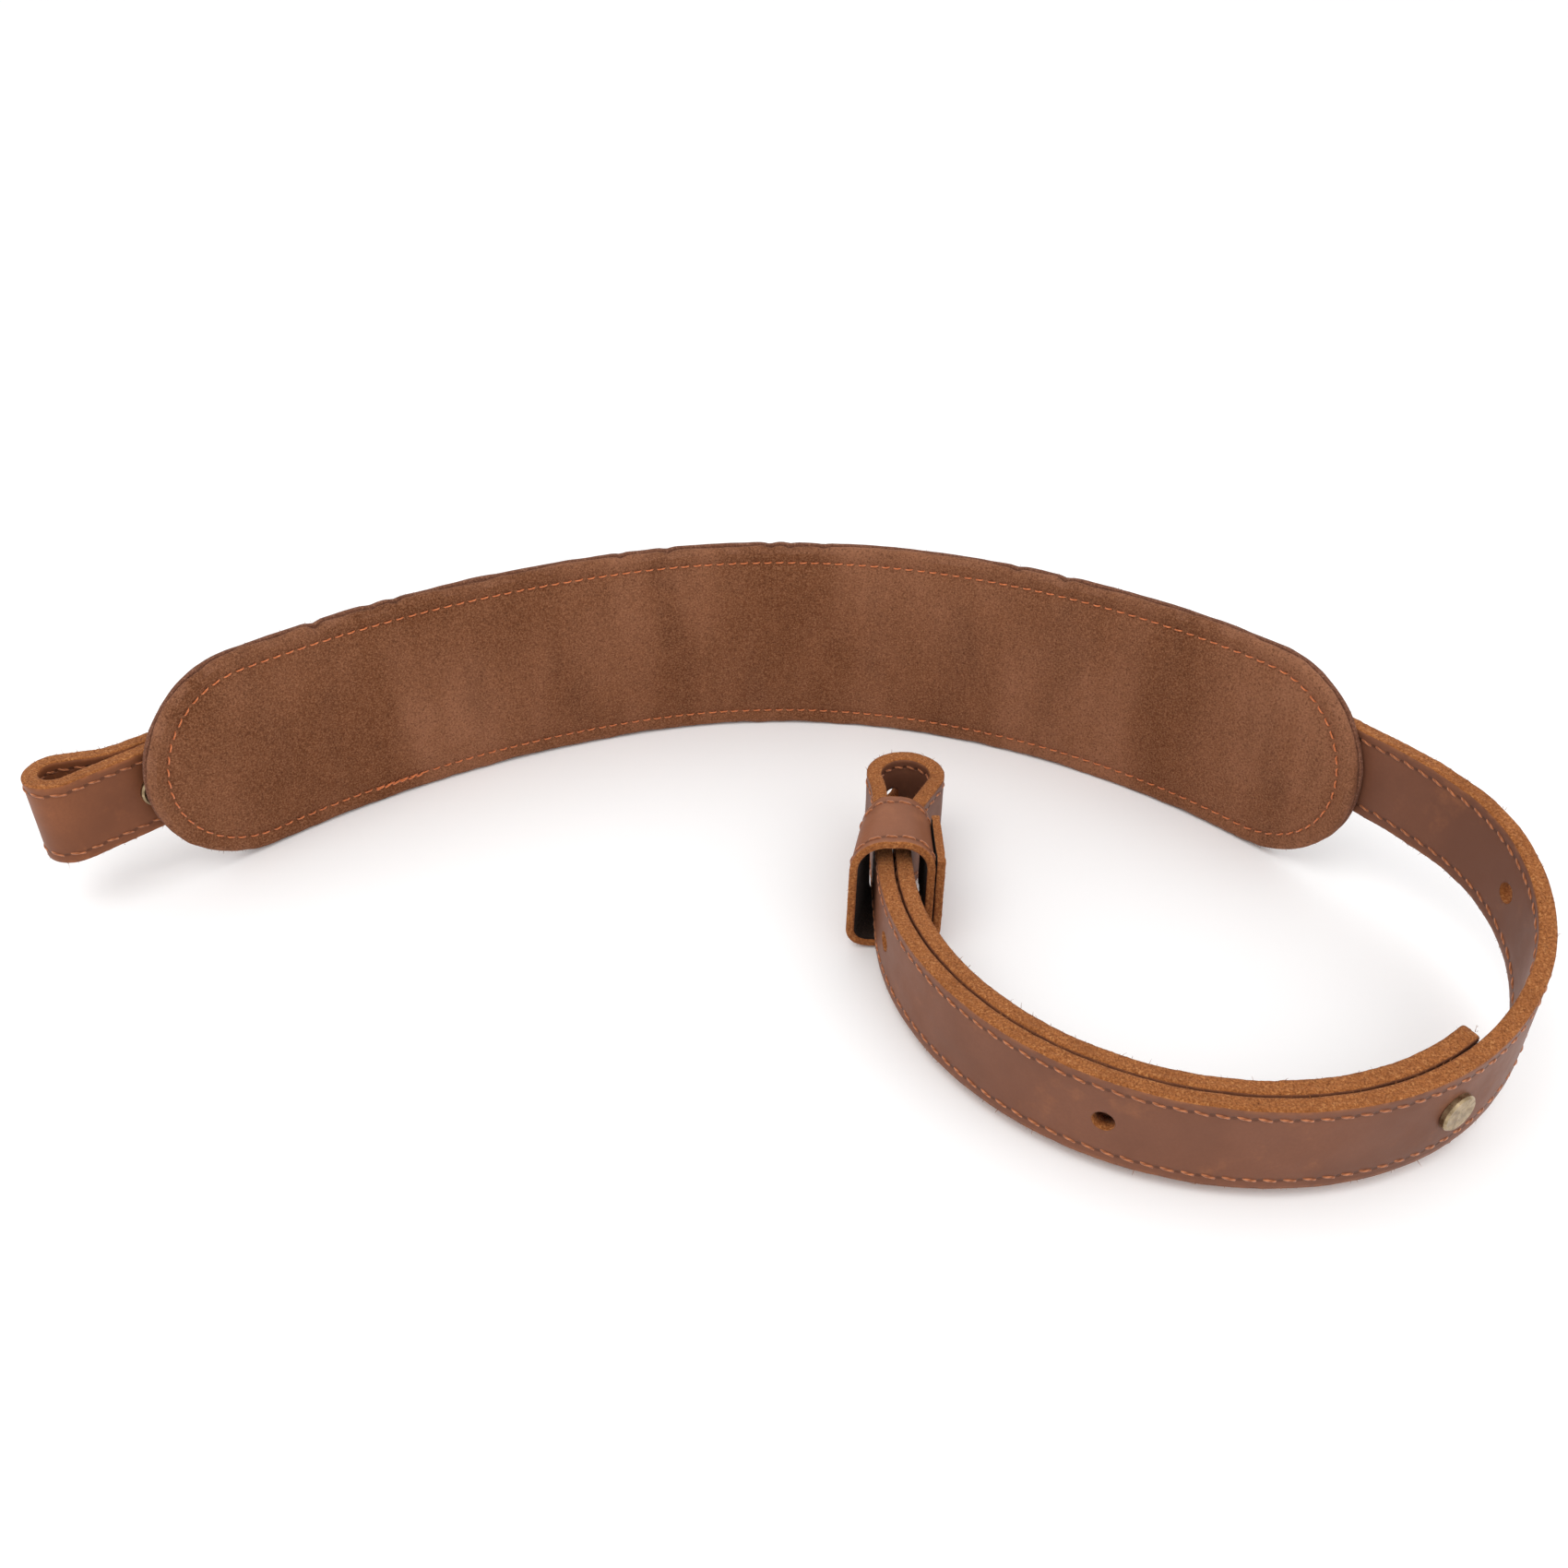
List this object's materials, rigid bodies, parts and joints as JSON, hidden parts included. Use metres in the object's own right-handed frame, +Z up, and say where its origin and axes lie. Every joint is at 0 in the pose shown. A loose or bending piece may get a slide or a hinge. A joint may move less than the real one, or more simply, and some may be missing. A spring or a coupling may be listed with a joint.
{
  "type": "padded leather instrument strap",
  "caption": "Curved suede-lined shoulder pad with a closed leather loop at one end and a long adjustable strap, folded back through a keeper and held by a screw, at the other.",
  "frame": {"origin": "centre of the bounding box in plan, on the plane the strap lies on", "axes": "+X towards the long strap's end of the pad, +Y from the long strap towards the crown of the pad's arc, +Z up out of the table"},
  "size_m": [0.3928, 0.2038, 0.0646],
  "materials": {
    "suede": "matt napped suede",
    "foam": "matt closed-cell foam, stood in for by fabric",
    "pad_leather": "smooth oiled leather",
    "strap_leather": "smooth oiled leather with raw edges",
    "keeper_leather": "smooth oiled leather with raw edges",
    "strap_thread": "waxed thread",
    "pad_thread": "waxed thread",
    "brass_fitting": "antiqued brass"
  },
  "bodies": {
    "pad": {"pad_suede_lining": "suede", "pad_foam_core": "foam", "pad_leather_back": "pad_leather", "pad_edge_stitching": "pad_thread", "right_tab_outer_layer": "strap_leather", "right_tab_inner_layer": "strap_leather", "right_tab_stitching": "strap_thread", "left_tab_outer_layer": "strap_leather", "left_tab_inner_layer": "strap_leather", "left_tab_stitching": "strap_thread"},
    "long_strap": {"long_strap_outer_layer": "strap_leather", "long_strap_inner_layer": "strap_leather", "long_strap_upper_stitching": "strap_thread", "long_strap_lower_stitching": "strap_thread", "long_strap_screw_post": "brass_fitting"},
    "long_strap_screw_turning": {"long_strap_screw": "brass_fitting"},
    "keeper": {"keeper_band": "keeper_leather", "keeper_near_stitching": "strap_thread", "keeper_far_stitching": "strap_thread"},
    "left_loop": {"left_loop_outer_layer": "strap_leather", "left_loop_inner_layer": "strap_leather", "left_loop_upper_stitching": "strap_thread", "left_loop_lower_stitching": "strap_thread", "left_loop_screw_post": "brass_fitting"},
    "left_loop_screw_turning": {"left_loop_screw": "brass_fitting"}
  },
  "joints": [
    {"name": "long_strap_flex", "type": "hinge", "parent": "pad", "child": "long_strap", "pos_m": [0.17374, 0.00804, 0.0377], "axis": [0, 0, 1], "range_deg": [-15, 20]},
    {"name": "left_loop_flex", "type": "hinge", "parent": "pad", "child": "left_loop", "pos_m": [-0.15642, 0.02643, 0.03], "axis": [0, 0, 1], "range_deg": [-30, 0]},
    {"name": "keeper_slide", "type": "hinge", "parent": "long_strap", "child": "keeper", "pos_m": [0.11844, -0.01735, 0.018], "axis": [0, 0, 1], "range_deg": [0, 112]},
    {"name": "long_strap_screw_turn", "type": "hinge", "parent": "long_strap", "child": "long_strap_screw_turning", "pos_m": [0.15969, -0.08845, 0.01635], "axis": [-0.5019, 0.8649, 0], "continuous": true},
    {"name": "left_loop_screw_turn", "type": "hinge", "parent": "left_loop", "child": "left_loop_screw_turning", "pos_m": [-0.16728, 0.01796, 0.03], "axis": [-0.7022, 0.712, 0], "continuous": true}
  ]
}
